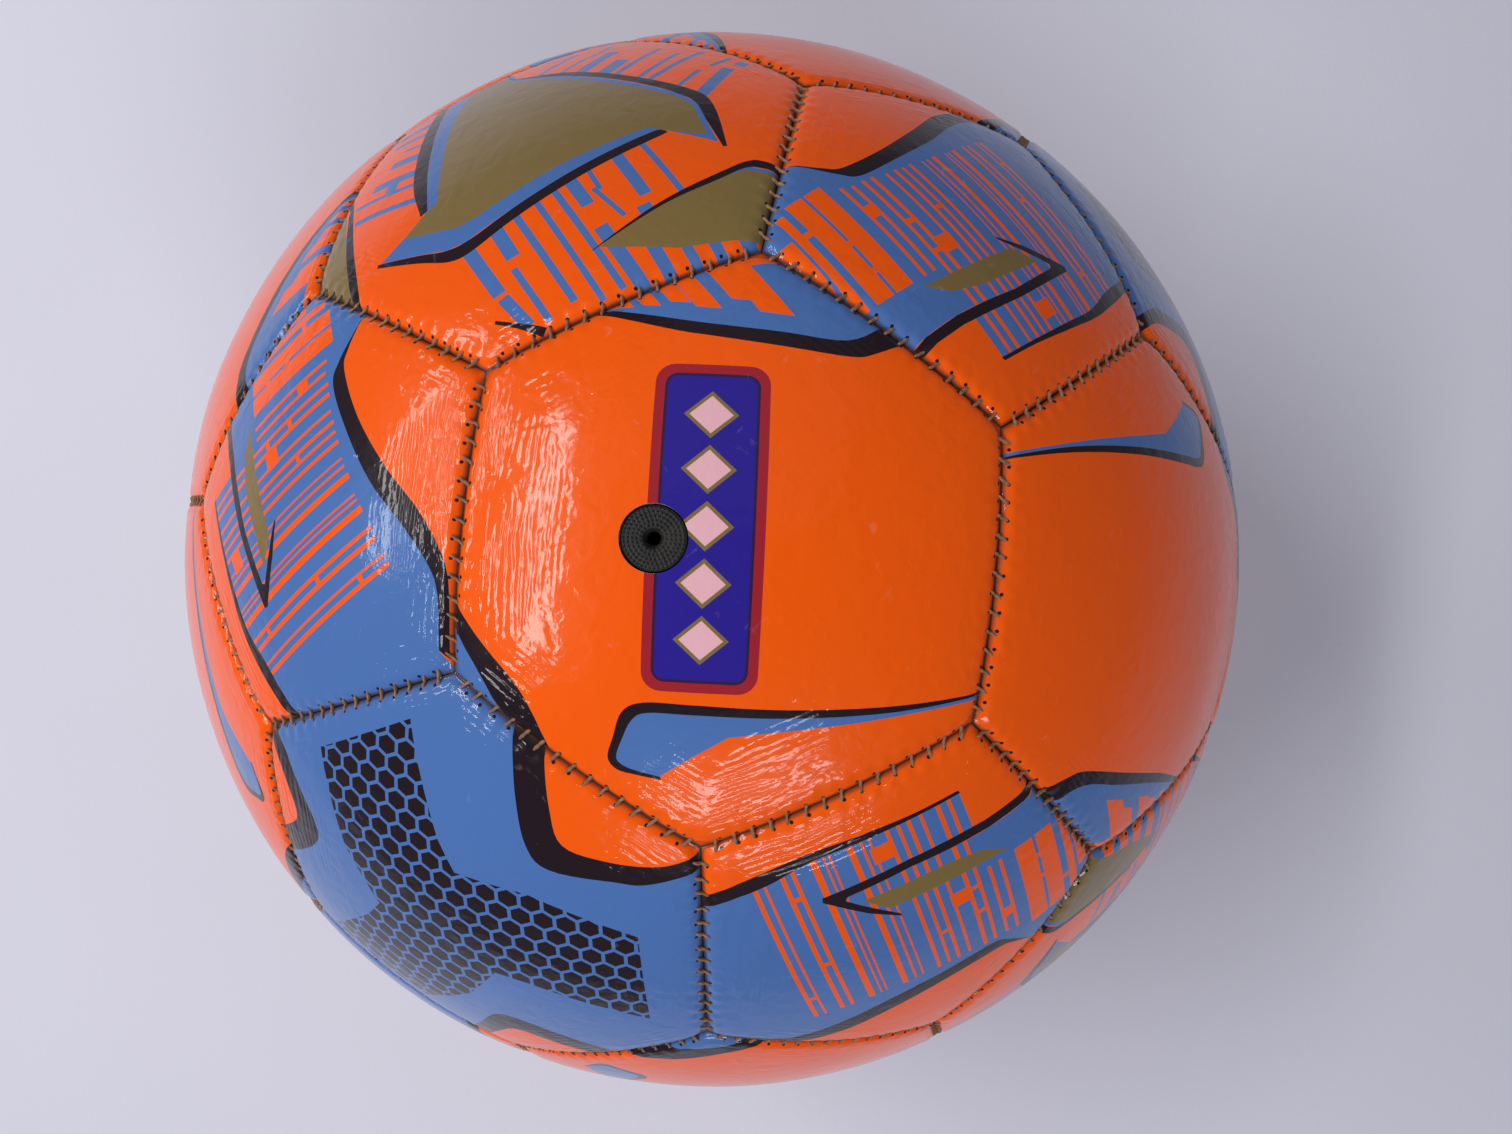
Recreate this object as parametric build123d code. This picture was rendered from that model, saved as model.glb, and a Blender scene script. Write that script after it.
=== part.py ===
"""A size 5 soccer ball: 32 stitched laminate panels, the seam threads, the rubber bladder and its needle valve.

Frame: millimetres, +Z up, origin at the ball's centre. The valve lies on +Z, and the valve panel's centre leans
from +Z towards +X. Every panel is a shallow tray whose rim is turned in along the seams, as on a stitched ball.
"""

from build123d import *
from math import asin, atan, cos, pi, sin, sqrt, tan
import os

# Ball
BALL_RADIUS = 110.0
VALVE_PANEL_LEAN = 5.8  # degrees from the valve axis to the centre of the valve panel

# Laminate of a panel, from outside to inside
SKIN = 0.5
FOAM = 1.1
LINING = 0.5
GLUE = 0.05
SEAM_GAP = 0.2
SHOULDER_RADIUS = 5.4  # how the laminate rolls down into a seam
RIM_DEPTH = 6.5  # how far the turned-in seam allowance reaches below the surface

# Seam thread: one running stitch to a seam
THREAD_RADIUS = 0.4
STITCH_DEPTH = 2.75  # how far the crossing bars lie below the surface
STITCHES = 13
STITCH_PITCH = 2.9
STITCH_REACH = 4.4  # from the seam plane to the thread's hidden runs

# Bladder and valve
BLADDER_WALL = 1.0
BLADDER_CLEARANCE = 0.1
PLUG_HEAD_RADIUS = 4.7
PLUG_HEAD_HEIGHT = 1.8
PLUG_STEM_RADIUS = 2.5
PLUG_LENGTH = 18.0
PLUG_CLEARANCE = 0.05
NEEDLE_RADIUS = 1.0
NEEDLE_DEPTH = 14.0
SLIT_WIDTH = 0.2
SLIT_LENGTH = 2.4
HEAD_DIMPLE_RADIUS = 1.7
HEAD_DIMPLE_DEPTH = 0.6
KNURL_RINGS = 3
KNURL_GROOVE = 0.25
COVER_HOLE_RADIUS = 4.9
BLADDER_HOLE_RADIUS = 4.75
NECK_RADIUS = 4.65
TUBE_RADIUS = 4.0
FLANGE_RADIUS = 14.0
FLANGE_THICKNESS = 1.5
PATCH_THICKNESS = 0.6
TUBE_EXTRA = 1.0  # how far the housing's tube reaches past the plug

GOLDEN = (1 + sqrt(5)) / 2
RIM_RADIUS = BALL_RADIUS - RIM_DEPTH
BLADDER_RADIUS = RIM_RADIUS - BLADDER_CLEARANCE


def icosahedron():
    """The twelve corners of an icosahedron: the pentagon centres of the ball."""
    corners = []
    for a in (-1, 1):
        for b in (-GOLDEN, GOLDEN):
            corners += [Vector(0, a, b), Vector(a, b, 0), Vector(b, 0, a)]
    return corners


def panel_corners():
    """(centre direction, corner points in order) for the 20 hexagons and the 12 pentagons."""
    ico = icosahedron()
    near = {i: [j for j, q in enumerate(ico) if abs((p - q).length - 2) < 1e-6] for i, p in enumerate(ico)}
    third = lambda p, q: (p * 2 + q) / 3
    hexagons, pentagons = [], []
    for i, p in enumerate(ico):
        ring = [third(p, ico[j]) for j in near[i]]
        pentagons.append(ordered(ring))
        for j in near[i]:
            for k in near[i]:
                if i < j < k and k in near[j]:
                    triangle = (ico[i], ico[j], ico[k])
                    hexagons.append(ordered([third(a, b) for a in triangle for b in triangle if a is not b]))
    return hexagons, pentagons


def ordered(points):
    """(centre direction, the points sorted round it), so that neighbours in the list share a seam."""
    centre = sum(points, Vector(0, 0, 0)).normalized()
    first = points[0] - centre * points[0].dot(centre)
    angle = lambda p: first.get_signed_angle(p - centre * p.dot(centre), centre)
    return centre, sorted(points, key=lambda p: angle(p) % 360)


def ball_frame(hexagons):
    """The turn that puts the first hexagon in the valve panel's place, a pentagon-side seam towards -X."""
    centre = hexagons[0][0]
    pentagon = min(icosahedron(), key=lambda p: p.get_angle(centre))
    towards = (pentagon - centre * pentagon.dot(centre)).normalized()
    local = Plane(origin=(0, 0, 0), x_dir=-towards, z_dir=centre)
    return Location((0, 0, 0), (0, VALVE_PANEL_LEAN, 0)) * local.location.inverse()


def turn(location, point):
    """A point carried by a location about the origin."""
    return (location * Location(point)).position


def panels():
    """Every panel as (sides, centre, corners), turned into the ball's frame and numbered from the valve down."""
    hexagons, pentagons = panel_corners()
    frame = ball_frame(hexagons)
    found = []
    for group in (hexagons, pentagons):
        turned = [(turn(frame, centre), [turn(frame, p) for p in corners]) for centre, corners in group]
        turned.sort(key=lambda panel: (-round(panel[0].Z, 3), round(panel[0].X, 3), round(panel[0].Y, 3)))
        found.append(turned)
    return found


def pyramid(sides, inset, height):
    """The cone of directions that a panel covers, about +Z with one corner over +X, its faces moved in by inset."""
    seam_over_radius = 2 / sqrt(1 + 9 * GOLDEN**2)
    corner_angle = asin(seam_over_radius / (2 * sin(pi / sides)))
    face_angle = atan(tan(corner_angle) * cos(pi / sides))
    apex = inset / sin(face_angle)
    base_radius = (height - apex) * tan(corner_angle)
    base = [
        Vector(base_radius * cos(2 * pi * k / sides), base_radius * sin(2 * pi * k / sides), height)
        for k in range(sides)
    ]
    tip = Vector(0, 0, apex)
    faces = [Face(Wire.make_polygon([tip, base[k - 1], base[k]])) for k in range(sides)]
    faces.append(Face(Wire.make_polygon(base)))
    return Solid(Shell(faces))


def plug(sides, radius, inset, shoulder):
    """The solid under one panel's boundary surface: a piece of a ball with rolled-down edges."""
    solid = Sphere(radius) & pyramid(sides, inset, BALL_RADIUS * 1.2)
    top = solid.faces().sort_by(Axis.Z)[-1]
    return fillet(top.edges(), shoulder) if shoulder else solid


def tray(sides, depth, thickness):
    """One layer of a panel's laminate, depth below the surface, with its rim turned in along the seams."""
    inset = SEAM_GAP / 2 + depth
    outside = plug(sides, BALL_RADIUS - depth, inset, SHOULDER_RADIUS - depth)
    inside = plug(sides, BALL_RADIUS - depth - thickness, inset + thickness, SHOULDER_RADIUS - depth - thickness)
    return outside - Sphere(RIM_RADIUS) - inside


def place(centre, corners):
    """Where a panel made about +Z, with one corner over +X, belongs on the ball."""
    towards = corners[0] - centre * corners[0].dot(centre)
    return Plane(origin=(0, 0, 0), x_dir=towards, z_dir=centre).location


def seams(hexagons, pentagons):
    """Every seam once, as (end, end) directions, hexagon to hexagon and hexagon to pentagon."""
    rounded = lambda p: (round(p.X, 4), round(p.Y, 4), round(p.Z, 4))
    sides = lambda panel: {frozenset((rounded(a), rounded(b))) for a, b in zip(panel[1], panel[1][1:] + panel[1][:1])}
    of_pentagons = set().union(*(sides(p) for p in pentagons))
    of_hexagons = set().union(*(sides(h) for h in hexagons))
    in_order = lambda found: [sorted(pair) for pair in sorted(found, key=sorted)]
    return in_order(of_hexagons - of_pentagons), in_order(of_pentagons)


def seam_thread():
    """A running stitch about +Z whose seam lies in the XZ plane: each crossing bar shows in the seam's groove."""
    line_radius = BALL_RADIUS - STITCH_DEPTH
    points = []
    for k in range(STITCHES):
        turned = (k - (STITCHES - 1) / 2) * STITCH_PITCH / line_radius
        side = STITCH_REACH if k % 2 else -STITCH_REACH
        for y in (side, -side):
            points.append(Vector(line_radius * sin(turned), y, line_radius * cos(turned)))
    path = Polyline(*points)
    start = Plane(origin=path @ 0, z_dir=path % 0)
    return sweep(start * RegularPolygon(THREAD_RADIUS, 6), path=path, transition=Transition.RIGHT)


def at_seam(seam):
    """Where a thread made about +Z belongs on the ball."""
    a, b = (Vector(*end) for end in seam)
    return Plane(origin=(0, 0, 0), x_dir=b - a, z_dir=a + b).location


def cap_ring(outer_radius, thickness, reach, hole):
    """A curved washer on the valve axis, from outer_radius down by thickness, out to reach."""
    ring = Pos(0, 0, outer_radius) * Cylinder(reach, outer_radius / 2)
    return (Sphere(outer_radius) - Sphere(outer_radius - thickness)) & ring - Pos(0, 0, outer_radius) * Cylinder(
        hole, outer_radius
    )


def along_z(radius, low, high):
    return Pos(0, 0, (low + high) / 2) * Cylinder(radius, high - low)


def bladder():
    """The butyl rubber bag, with the hole that the valve housing's neck comes through."""
    shell = Sphere(BLADDER_RADIUS) - Sphere(BLADDER_RADIUS - BLADDER_WALL)
    return shell - along_z(BLADDER_HOLE_RADIUS, BALL_RADIUS / 2, BALL_RADIUS)


def valve_housing():
    """The moulded rubber seat: a neck up to the plug's head, a flange inside the bladder, and a deep tube."""
    neck_top = BALL_RADIUS - PLUG_HEAD_HEIGHT - PLUG_CLEARANCE
    flange_top = BLADDER_RADIUS - BLADDER_WALL - GLUE
    tube_bottom = BALL_RADIUS - PLUG_LENGTH - TUBE_EXTRA
    flange = cap_ring(flange_top, FLANGE_THICKNESS, FLANGE_RADIUS, PLUG_STEM_RADIUS)
    neck = along_z(NECK_RADIUS, flange_top - FLANGE_THICKNESS, neck_top)
    tube = along_z(TUBE_RADIUS, tube_bottom, flange_top)
    return flange + neck + tube - along_z(PLUG_STEM_RADIUS + PLUG_CLEARANCE, tube_bottom - 1, neck_top + 1)


def valve_plug():
    """The removable rubber plug: a knurled domed head, a stem, the needle's hole and the slit that seals it."""
    dome = Sphere(BALL_RADIUS) & along_z(PLUG_HEAD_RADIUS, BALL_RADIUS - PLUG_HEAD_HEIGHT, BALL_RADIUS + 1)
    stem = along_z(PLUG_STEM_RADIUS, BALL_RADIUS - PLUG_LENGTH, BALL_RADIUS - PLUG_HEAD_HEIGHT)
    body = dome + stem
    for ring in range(KNURL_RINGS):
        ring_radius = HEAD_DIMPLE_RADIUS + (ring + 1) * (PLUG_HEAD_RADIUS - HEAD_DIMPLE_RADIUS) / (KNURL_RINGS + 1)
        body -= Pos(0, 0, BALL_RADIUS) * Torus(ring_radius, KNURL_GROOVE)
    body -= Pos(0, 0, BALL_RADIUS - HEAD_DIMPLE_DEPTH / 2) * Cone(
        NEEDLE_RADIUS, HEAD_DIMPLE_RADIUS, HEAD_DIMPLE_DEPTH
    )
    body -= along_z(NEEDLE_RADIUS, BALL_RADIUS - NEEDLE_DEPTH, BALL_RADIUS + 1)
    slit_height = 2 * (PLUG_LENGTH - NEEDLE_DEPTH + 1)
    return body - Pos(0, 0, BALL_RADIUS - PLUG_LENGTH) * Box(SLIT_LENGTH, SLIT_WIDTH, slit_height)


def valve_patch():
    """The reinforcing ring glued round the valve on the outside of the bladder."""
    return cap_ring(BLADDER_RADIUS + GLUE + PATCH_THICKNESS, PATCH_THICKNESS, FLANGE_RADIUS, BLADDER_HOLE_RADIUS)


def write(name, shape):
    export_step(shape, f"parts/{name}.step")
    print(name, len(shape.solids()), round(shape.volume))


def main():
    os.makedirs("parts", exist_ok=True)
    hexagons, pentagons = panels()
    valve_hole = along_z(COVER_HOLE_RADIUS, BALL_RADIUS / 2, BALL_RADIUS * 1.1)
    skin_depth, foam_depth = 0, SKIN + GLUE
    lining_depth = foam_depth + FOAM + GLUE

    for label, sides, group in (("hex", 6, hexagons), ("pent", 5, pentagons)):
        layers = {
            "skin": tray(sides, skin_depth, SKIN),
            "foam": tray(sides, foam_depth, FOAM),
            "lining": tray(sides, lining_depth, LINING),
        }
        placed = {name: [place(*panel) * layer for panel in group] for name, layer in layers.items()}
        if sides == 6:
            for pieces in placed.values():
                pieces[0] = pieces[0] - valve_hole
        for number, skin in enumerate(placed["skin"], 1):
            write(f"{label}_cover_{number:02d}", skin)
        write(f"{label}_foam_layers", Compound(children=[p.solids()[0] for p in placed["foam"]]))
        write(f"{label}_linings", Compound(children=[p.solids()[0] for p in placed["lining"]]))

    thread = seam_thread()
    hex_seams, pent_seams = seams(hexagons, pentagons)
    for name, group in (("threads_hex_seams", hex_seams), ("threads_pent_seams", pent_seams)):
        write(name, Compound(children=[(at_seam(seam) * thread).solids()[0] for seam in group]))

    write("bladder", bladder())
    write("valve_housing", valve_housing())
    write("valve_plug", valve_plug())
    write("valve_patch", valve_patch())


main()
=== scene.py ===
"""Looks for the stitched soccer ball: printed, puckered panels, seam stitches, the valve and the label.

Panel drawings are in millimetres on each panel's own flat plane, before it is bulged onto the ball. One
drawing serves every panel with that print: the turns of a tetrahedron carry a print from panel to panel.
"""

import bpy
import numpy as np
from mathutils import Matrix, Vector
from mathutils.geometry import delaunay_2d_cdt


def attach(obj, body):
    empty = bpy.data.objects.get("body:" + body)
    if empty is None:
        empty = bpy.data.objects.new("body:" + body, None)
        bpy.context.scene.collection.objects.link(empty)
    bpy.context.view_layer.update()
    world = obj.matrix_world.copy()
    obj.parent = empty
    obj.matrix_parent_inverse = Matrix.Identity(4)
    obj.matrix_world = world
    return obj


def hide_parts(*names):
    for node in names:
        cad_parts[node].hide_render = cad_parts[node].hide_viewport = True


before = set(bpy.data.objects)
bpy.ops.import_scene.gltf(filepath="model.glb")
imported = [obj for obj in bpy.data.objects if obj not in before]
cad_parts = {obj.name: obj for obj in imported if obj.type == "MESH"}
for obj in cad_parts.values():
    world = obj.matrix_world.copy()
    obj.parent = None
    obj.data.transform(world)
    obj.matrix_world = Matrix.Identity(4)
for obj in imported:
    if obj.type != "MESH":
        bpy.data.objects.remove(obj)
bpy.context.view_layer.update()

MM = 0.001
BALL_RADIUS = 110.0
LEAN = np.radians(5.8)  # from the valve axis to the centre of the valve panel
HEX_PLANE = 100.6  # how far a hexagon's flat plane is from the ball's centre
PENT_PLANE = 103.3
HEX_CORNER = 44.4  # from a hexagon's centre to its corners, on that plane
PENT_CORNER = 37.8
HEX_TO_HEX = np.radians(41.81)  # between the centres of neighbouring panels
HEX_TO_PENT = np.radians(37.377)
STITCHES = 15
STITCH_PITCH = 2.85
VALVE_HOLE = 4.9
RIM_BOTTOM = 104.2  # how far the turned-in rim reaches towards the ball's centre
CREASE_DEPTH = 0.95  # the narrow crease at a seam
CREASE_WIDTH = 0.85
CORNER_BLEND = 0.9  # how softly two seams' creases meet at a corner
FOLD_REACH = 7.5  # how far in from a seam the folds fade
FOLD_HEIGHT = 0.07
STITCH_PULL = 0.12

ORANGE = (0.86, 0.097, 0.0)
BLUE = (0.064, 0.152, 0.41)
BLACK = (0.013, 0.006, 0.010)
GOLD = (0.20, 0.137, 0.045)
LABEL_BLUE = (0.022, 0.012, 0.26)
LABEL_RED = (0.32, 0.014, 0.025)
LABEL_DARK = (0.03, 0.01, 0.05)
LABEL_PALE = (0.75, 0.42, 0.48)


# ---------------------------------------------------------------- panel frames


def unit(v):
    return v / np.linalg.norm(v)


def turn_about(axis, degrees):
    return np.array(Matrix.Rotation(np.radians(degrees), 3, Vector(axis)))


def neighbour(panel, direction, tilt, facing):
    """The panel across a seam, which is at the angle direction on this panel and facing on the other."""
    u, v, n = panel.T
    a, b = np.radians(direction), np.radians(facing)
    out = np.cos(a) * u + np.sin(a) * v
    centre = np.cos(tilt) * n + np.sin(tilt) * out
    back = np.sin(tilt) * n - np.cos(tilt) * out
    beside = np.cross(centre, back)
    return np.column_stack(
        [np.cos(b) * back - np.sin(b) * beside, np.sin(b) * back + np.cos(b) * beside, centre]
    )


def print_turns(mesh_panel, valve_panel):
    """The twelve turns of a tetrahedron that leave the whole print unchanged."""
    u, _, n = valve_panel.T
    third = turn_about(mesh_panel[:, 2], 120)
    half = turn_about(np.cos(HEX_TO_HEX / 2) * n + np.sin(HEX_TO_HEX / 2) * u, 180)
    turns = [np.eye(3)]
    for turn in turns:
        for step in (third, half):
            new = step @ turn
            if not any(np.allclose(new, old, atol=1e-4) for old in turns):
                turns.append(new)
    return turns


valve_panel = np.column_stack(
    [(np.cos(LEAN), 0, -np.sin(LEAN)), (0, 1, 0), (np.sin(LEAN), 0, np.cos(LEAN))]
)
mesh_panel = neighbour(valve_panel, 240, HEX_TO_HEX, 60)
star_panel = neighbour(valve_panel, 120, HEX_TO_HEX, 300)
bars_panel = neighbour(valve_panel, 300, HEX_TO_PENT, 270)


def all_panels():
    """Every panel as (print name, sides, frame), the valve panel first."""
    found = []
    bases = (
        ("plain", 6, valve_panel),
        ("mesh", 6, mesh_panel),
        ("star", 6, star_panel),
        ("bars", 5, bars_panel),
    )
    for name, sides, base in bases:
        for turn in print_turns(mesh_panel, valve_panel):
            panel = turn @ base
            if not any(np.allclose(panel[:, 2], other[:, 2], atol=1e-3) for _, _, other in found):
                found.append((name, sides, panel))
    return found


def corners(sides, inset=0.0):
    """The corners of a panel's flat outline, anticlockwise from the top, moved in by inset."""
    radius = (HEX_CORNER if sides == 6 else PENT_CORNER) - inset / np.cos(np.pi / sides)
    angles = np.pi / 2 + 2 * np.pi * np.arange(sides) / sides
    return radius * np.column_stack([np.cos(angles), np.sin(angles)])


# ---------------------------------------------------------------- drawing tools


def along(points, step=1.2):
    """Points added along an open line, no further apart than step."""
    points = np.asarray(points, float)
    found = [points[:1]]
    for a, b in zip(points, points[1:]):
        count = max(1, int(np.ceil(np.linalg.norm(b - a) / step)))
        found.append(a + (b - a) * (np.arange(1, count + 1) / count)[:, None])
    return np.concatenate(found)


def bend(points, parts=5):
    """A smooth open line through the points."""
    line = np.asarray(points, float)
    line = np.vstack([2 * line[0] - line[1], line, 2 * line[-1] - line[-2]])
    t = (np.arange(parts) / parts)[:, None]
    found = []
    for a, b, c, d in zip(line, line[1:], line[2:], line[3:]):
        square = (2 * a - 5 * b + 4 * c - d) * t**2
        cube = (3 * b - a - 3 * c + d) * t**3
        found.append(0.5 * (2 * b + (c - a) * t + square + cube))
    return np.vstack([*found, line[-2:-1]])


def band(one_side, other_side):
    """A tapering band between two smooth lines that run the same way."""
    return np.vstack([bend(one_side), bend(other_side)[::-1]])


def bar(start, end, width):
    start, end = np.array(start, float), np.array(end, float)
    across = unit(end - start)[::-1] * (width / 2, -width / 2)
    return np.array([start + across, start - across, end - across, end + across])


def box(x0, x1, y0, y1):
    return np.array([(x0, y0), (x1, y0), (x1, y1), (x0, y1)], float)


def ring(centre, radius, count, first=0.0):
    angles = first + 2 * np.pi * np.arange(count) / count
    return np.array(centre) + radius * np.column_stack([np.cos(angles), np.sin(angles)])


def turned(points, degrees, centre=(0, 0)):
    a = np.radians(degrees)
    matrix = np.array([(np.cos(a), np.sin(a)), (-np.sin(a), np.cos(a))])
    return (np.asarray(points, float) - centre) @ matrix + centre


# ---------------------------------------------------------------- the prints
# A print is a list of (ink, outline, region). Later shapes cover earlier ones, and a shape with a region
# shows only inside that outline.


def plain_print():
    """The commonest hexagon: a ribbon over the top corner, a blue corner, and a wedge along the bottom."""
    low_side = bend([(-24, 31.9), (-12, 30.4), (-5, 29.9), (13, 29.9), (18, 33.4)])
    ribbon = np.vstack([[(-27, 50), (-27, 32)], low_side, [(30, 50)]])
    shapes = [(BLUE, ribbon, None)]
    bars = [
        (-22, 5, 32), (-15.8, 2.6, 32.4), (-12, 3, 33.2), (-8.3, 3.6, 32.6), (-3.6, 3, 34.4),
        (0.6, 4.8, 32.7),
    ]
    for x, width, low in bars:
        foot = [(x, low), (x + width, low), (x + width - 14, low + 16), (x - 14, low + 16)]
        shapes.append((ORANGE, np.array(foot, float), ribbon))
    shapes.append((ORANGE, np.array([(-9, 47), (3, 47), (3, 42.2), (-5, 39.4)], float), ribbon))
    edge = [(-26, 32.1), (-12, 30.5), (-5, 30), (4, 29.9), (13, 30.1), (18.4, 33.8), (20, 36)]
    under = [(-26, 31.6), (-12, 28.8), (-5, 28.1), (4, 27.7), (13.5, 27.6), (17.5, 29), (24, 33)]
    shapes.append((BLACK, band(edge, under), None))

    blue_side = [(-46, -9), (-40, -13.4), (-35, -19), (-31, -25), (-29.3, -29), (-29, -36)]
    orange_side = [
        (-46, -4), (-40, -9.6), (-34, -15.8), (-28.4, -21), (-25.6, -24.6), (-23, -30), (-22, -36),
    ]
    shapes.append((BLUE, np.vstack([bend(blue_side), [(-46, -36)]]), None))
    shapes.append((BLACK, band(blue_side, orange_side), None))

    wedge_top = [
        (40, -16.8), (25, -19.2), (10, -20.6), (-3, -21.1), (-9.6, -21.5), (-12.4, -23.2),
        (-13.4, -27), (-14, -30.2), (-12.6, -31.9), (-10, -32.3), (-6.4, -32.6),
    ]
    wedge_in = [
        (40, -17.1), (25, -20.1), (10, -21.8), (-3, -22.5), (-9, -22.9), (-11, -24.2), (-12.1, -27),
        (-12.8, -29.9), (-11.8, -31.1), (-9.6, -31.7), (-6.6, -32.1),
    ]
    orange_line = [
        (-6.4, -31.8), (-2, -28.2), (2, -25.2), (8, -24), (20, -21.8), (32, -19.3), (40, -17.6),
    ]
    shapes.append((BLUE, np.vstack([bend(wedge_in), orange_line]), None))
    shapes.append((BLACK, band(wedge_top, wedge_in), None))
    return shapes


def label_print():
    """The upright label: a red rim, a dark line, a blue field and a column of plain pale lozenges."""
    centre = np.array((-3.7, 2.2))

    def rounded(width, height, radius):
        points = []
        for k, (sx, sy) in enumerate(((1, 1), (-1, 1), (-1, -1), (1, -1))):
            angles = np.radians(90 * k + np.arange(0, 91, 15))
            middle = (sx * (width / 2 - radius), sy * (height / 2 - radius))
            points.append(middle + radius * np.column_stack([np.cos(angles), np.sin(angles)]))
        return turned(centre + np.vstack(points), 3.1, centre)

    shapes = [(LABEL_RED, rounded(15.2, 43.2, 2.6), None), (LABEL_DARK, rounded(12.6, 40.6, 1.7), None)]
    shapes.append((LABEL_BLUE, rounded(11.8, 39.8, 1.3), None))
    for k in range(-2, 3):
        middle = centre + (0, 7.3 * k)
        for ink, size in ((GOLD, 1.0), (LABEL_PALE, 0.8)):
            lozenge = middle + size * np.array([(3.6, 0), (0, 3.2), (-3.6, 0), (0, -3.2)])
            shapes.append((ink, turned(lozenge, 3.1, centre), None))
    return shapes


def mesh_print():
    """The blue hexagon: three orange bites with black edges, and a three-armed patch of black cells."""
    middle = (-3.0, 0.0)
    shapes = []
    blue_side = [
        (13, 44), (13.4, 35), (14, 27), (15.4, 19.4), (18.6, 15.9), (28, 15.5), (34, 15.8),
        (46, 20.5),
    ]
    orange_side = [
        (17.6, 44), (18, 36), (19, 26.5), (20.8, 20.6), (27, 19), (34, 18.9), (39, 20.3), (46, 24),
    ]
    arm = [(-20.3, 24.6), (-3, 35.4), (-1.8, 30), (1.6, 16.5), (3.9, 11.2), (15, 10.6)]
    patch = []
    for k in range(3):
        edge, inner = turned(bend(blue_side), -120 * k), turned(bend(orange_side), -120 * k)
        far = turned([(46, 44)], -120 * k)
        shapes.append((ORANGE, np.vstack([inner, far]) + middle, None))
        shapes.append((BLACK, np.vstack([edge, inner[::-1]]) + middle, None))
        patch.append(turned(arm, -120 * k))
    patch = np.vstack(patch) + middle
    pitch, row_height = 3.45, 3.45 * np.sqrt(3) / 2
    for row in range(-12, 13):
        for column in range(-11, 12):
            at = np.array(((column + row % 2 / 2) * pitch, row * row_height)) + middle
            if np.linalg.norm(at - middle) < 38 and np.linalg.norm(patch - at, axis=1).min() < 16:
                shapes.append((BLACK, ring(at, 1.66, 6, np.pi / 2), patch))
    return shapes


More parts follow.
